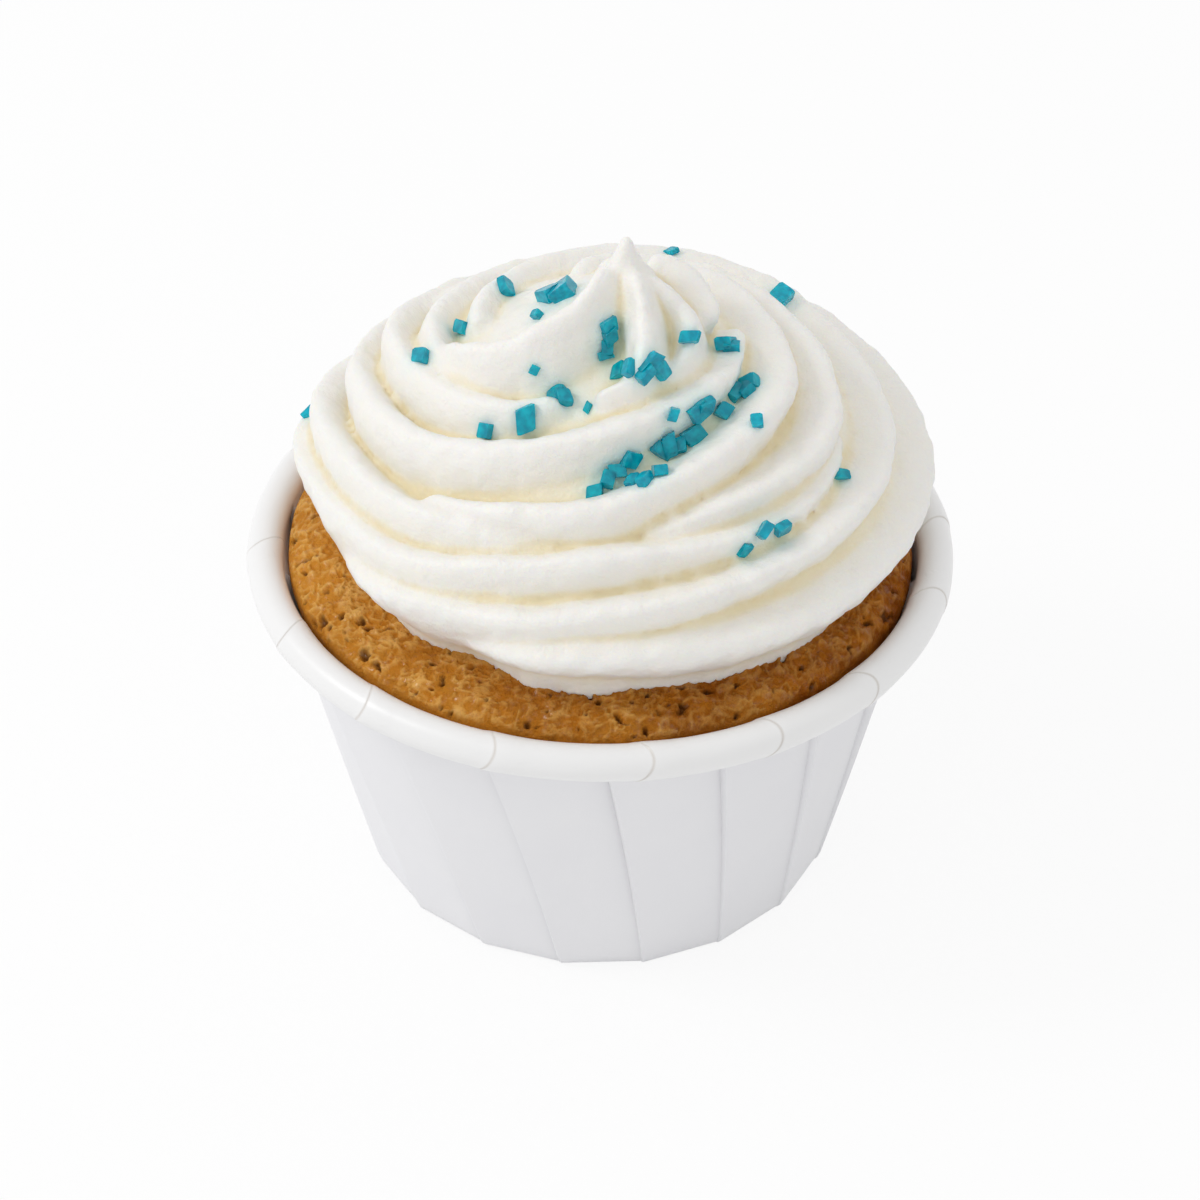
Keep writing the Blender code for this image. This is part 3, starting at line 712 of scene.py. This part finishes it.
# Crystals that lie alone: azimuth and climb on the mound, and size in mm.
SINGLES = [(-202, 31.8, 1.9), (-155, 36.0, 1.4), (-180, 28.3, 2.2), (-174, 23.6, 2.0),
           (-129, 31.3, 1.2), (-101, 29.1, 1.0), (-132, 23.9, 1.5), (-192, 5.2, 1.6),
           (69, 27.9, 1.2), (31, 23.1, 2.4), (-44, 34.7, 1.9), (-70, 28.0, 1.6),
           (-44, 24.2, 1.4), (-32, 15.2, 1.6), (-63, 13.5, 1.7)]
# A crystal's corners are cut back by this share of half its edge, and its edges rounded by this in mm.
CORNER_CUT = 0.30
EDGE_ROUND = 0.07
# A crystal may land this far from its place on the mound before the nearest icing is taken instead.
STRAY_LIMIT = 9.0
draw = np.random.default_rng(8)
places = list(SINGLES)
for azimuth, climb, last_azimuth, last_climb, count, size, stray in HANDFULS:
    share = (np.arange(count) + 0.5) / count
    across = draw.normal(0.0, stray, (count, 2))
    sizes = size * draw.uniform(0.8, 1.2, count)
    places += list(zip(azimuth + (last_azimuth - azimuth) * share + across[:, 0] * 1.5,
                       climb + (last_climb - climb) * share + across[:, 1], sizes))
places = np.array(places)
tree = BVHTree.FromObject(swirl, bpy.context.evaluated_depsgraph_get())
radius, height, outward = on_mound(places[:, 1], 0.0)
turn = np.radians(places[:, 0])
settled = np.stack([MOUND_AXIS[0] + radius * np.cos(turn), MOUND_AXIS[1] + radius * np.sin(turn),
                    height], axis=1)
fall = np.array((0.0, math.cos(ELEVATION), -math.sin(ELEVATION)))
found = [tree.ray_cast(Vector((place - fall * 30.0) * MM), Vector(fall)) for place in settled]
found = [hit if hit[0] and (hit[0] / MM - Vector(place)).length < STRAY_LIMIT
         else tree.find_nearest(Vector(place * MM)) for hit, place in zip(found, settled)]
hits = np.array([tuple(hit[0]) for hit in found]) / MM
facing = np.array([tuple(hit[1]) for hit in found])


def crystal_block():
    """A cube with its corners cut: for each corner, three points set back along its three edges."""
    corners = np.array(list(itertools.product((-1.0, 1.0), repeat=3)))
    return np.concatenate([corners * (np.ones(3) - CORNER_CUT * np.eye(3)[axis]) for axis in range(3)])


def crystal_shapes():
    """Every crystal: the cut block, stretched, sheared and turned, then set on the icing."""
    work = bmesh.new()
    for point in crystal_block():
        work.verts.new(point)
    bmesh.ops.convex_hull(work, input=work.verts)
    bmesh.ops.dissolve_limit(work, angle_limit=0.05, verts=work.verts, edges=work.edges)
    bmesh.ops.triangulate(work, faces=work.faces)
    bmesh.ops.recalc_face_normals(work, faces=work.faces)
    block = np.array([vert.co[:] for vert in work.verts])
    work.verts.index_update()
    faces = np.array([[vert.index for vert in face.verts] for face in work.faces])
    work.free()
    count = len(places)
    stretch = np.stack([draw.uniform(0.75, 1.25, count), draw.uniform(0.6, 1.0, count),
                        draw.uniform(0.38, 0.75, count)], axis=1)
    stretch *= places[:, 2, None] * 0.45
    shape = block[None] * stretch[:, None]
    shape[..., 0] += shape[..., 1] * draw.uniform(-0.35, 0.35, count)[:, None]
    shape += shape * draw.uniform(-0.08, 0.08, shape.shape)
    lean = unit(facing + draw.normal(0.0, 0.22, facing.shape))
    side = unit(np.cross(lean, draw.normal(0.0, 1.0, lean.shape)))
    third = np.cross(lean, side)
    centre = hits + facing * stretch[:, 2, None] * 0.62
    points = (centre[:, None] + shape[..., :1] * side[:, None] + shape[..., 1:2] * third[:, None]
              + shape[..., 2:] * lean[:, None])
    triangles = (faces[None] + (np.arange(count) * len(block))[:, None, None]).reshape(-1, 3)
    return (points.reshape(-1, 3), np.empty((0, 4), int), triangles), centre


shape, centres = crystal_shapes()
sugar = Finish("turquoise sugar", {"IOR": 1.5, "Transmission Weight": 0.5, "Subsurface Weight": 0.3,
                                   "Subsurface Radius": (0.1, 0.8, 1.0), "Subsurface Scale": 0.0015,
                                   "Specular IOR Level": 0.22})
murk = ((sugar.noise(0.8, 2.0) - 0.35) * 3.0).clamped()
sugar_data = sugar.connect({"Base Color": sugar.mix((0.0, 0.40, 0.56), (0.0, 0.68, 0.86), murk),
                            "Roughness": 0.10 + 0.22 * sugar.noise(0.3, 2.0)})
crystals = piece_from("sugar_crystals", shape, sugar_data, 20.0)
edge_round = crystals.modifiers.new("blunt", "BEVEL")
edge_round.width = EDGE_ROUND * MM
edge_round.segments = 2
edge_round.limit_method = "ANGLE"
edge_round.angle_limit = math.radians(18)
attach(crystals, "root")

# The icing's finish: warm white with painted shade in its hollows, yellower in the wide furrows and a
# darker tan along the narrow creases, and a faint teal stain round the sugar.
distance = np.linalg.norm(points[:, None] - centres[None], axis=2) / (places[:, 2] * 0.9)[None]
stain = np.exp(-(distance ** 2) * 1.2).sum(axis=1).clip(0.0, 1.0)
for name, values in (("furrow", hollow), ("crease", crease), ("stain", stain)):
    mark = fused.attributes.new(name, "FLOAT", "POINT")
    mark.data.foreach_set("value", values.astype(np.float32))
cream = Finish("buttercream", {"Subsurface Weight": 0.25, "Subsurface Radius": (1.0, 0.70, 0.35),
                               "Subsurface Scale": 0.0014, "Specular IOR Level": 0.42})
furrow = cream.attribute("furrow")
pits = cream.noise(0.45, 4.0, 0.65)
ripple = cream.noise(1.6, 3.0, 0.6)
haze = cream.noise(9.0, 2.0)
# Painted shade: the wide hollows are painted warmer and yellower for the shade and warm bounce light that
# gather there; the haze is the icing's own uneven tone.
depth = (furrow * 0.7 + 0.4 + (haze - 0.5) * 0.8).clamped()
body = cream.mix((0.885, 0.872, 0.838), (0.890, 0.850, 0.752), depth)
body = cream.mix(body, (0.92, 0.84, 0.60), (furrow * 1.3 - 0.15).clamped() * 0.8)
# Painted shade: the narrow creases are painted a darker tan where shade falls.
body = cream.mix(body, (0.80, 0.67, 0.39), (cream.attribute("crease") * 6.0 - 0.5).clamped() * 0.65)
body = cream.mix(body, (0.40, 0.78, 0.74), cream.attribute("stain") * 0.28)
relief = cream.bump(pits, 0.10, below=cream.bump(ripple, 0.22))
cream_data = cream.connect({"Base Color": body, "Roughness": 0.30 + 0.22 * pits, "Normal": relief})
fused.materials.clear()
fused.materials.append(cream_data)
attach(swirl, "root")
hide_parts("frosting")
